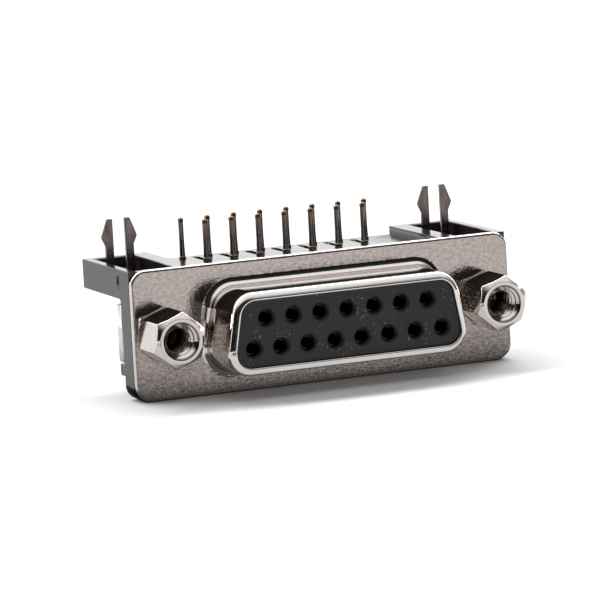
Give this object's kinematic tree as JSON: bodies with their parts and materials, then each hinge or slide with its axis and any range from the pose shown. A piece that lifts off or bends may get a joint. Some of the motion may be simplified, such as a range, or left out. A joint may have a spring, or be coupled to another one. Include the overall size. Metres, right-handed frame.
{
  "type": "d-sub connector",
  "caption": "Right-angle receptacle with rows of sockets in a D-shaped steel shell, hexagonal jackscrews, a moulded bracket, bent solder tails and forked board locks.",
  "frame": {"origin": "centre of the D on the front face of the flange", "axes": "-Y out of the mating face, +Z along the solder tails towards the board, +X along the flange, to the right when the mating face is seen with the tails up"},
  "size_m": [0.0392, 0.0192, 0.0165],
  "materials": {
    "shell_steel": "satin",
    "insulator_plastic": "satin",
    "bracket_plastic": "gloss",
    "contact_metal": "satin",
    "fastener_steel": "polished",
    "board_lock_metal": "satin"
  },
  "bodies": {
    "root": {"front_shell": "shell_steel", "front_insulator": "insulator_plastic", "rear_insulator": "insulator_plastic", "bracket": "bracket_plastic", "contact_01": "contact_metal", "contact_02": "contact_metal", "contact_03": "contact_metal", "contact_04": "contact_metal", "contact_05": "contact_metal", "contact_06": "contact_metal", "contact_07": "contact_metal", "contact_08": "contact_metal", "contact_09": "contact_metal", "contact_10": "contact_metal", "contact_11": "contact_metal", "contact_12": "contact_metal", "contact_13": "contact_metal", "contact_14": "contact_metal", "contact_15": "contact_metal", "jackscrew_left": "fastener_steel", "jackscrew_right": "fastener_steel", "nut_left": "fastener_steel", "nut_right": "fastener_steel", "board_lock_left": "board_lock_metal", "board_lock_right": "board_lock_metal"}
  },
  "joints": []
}
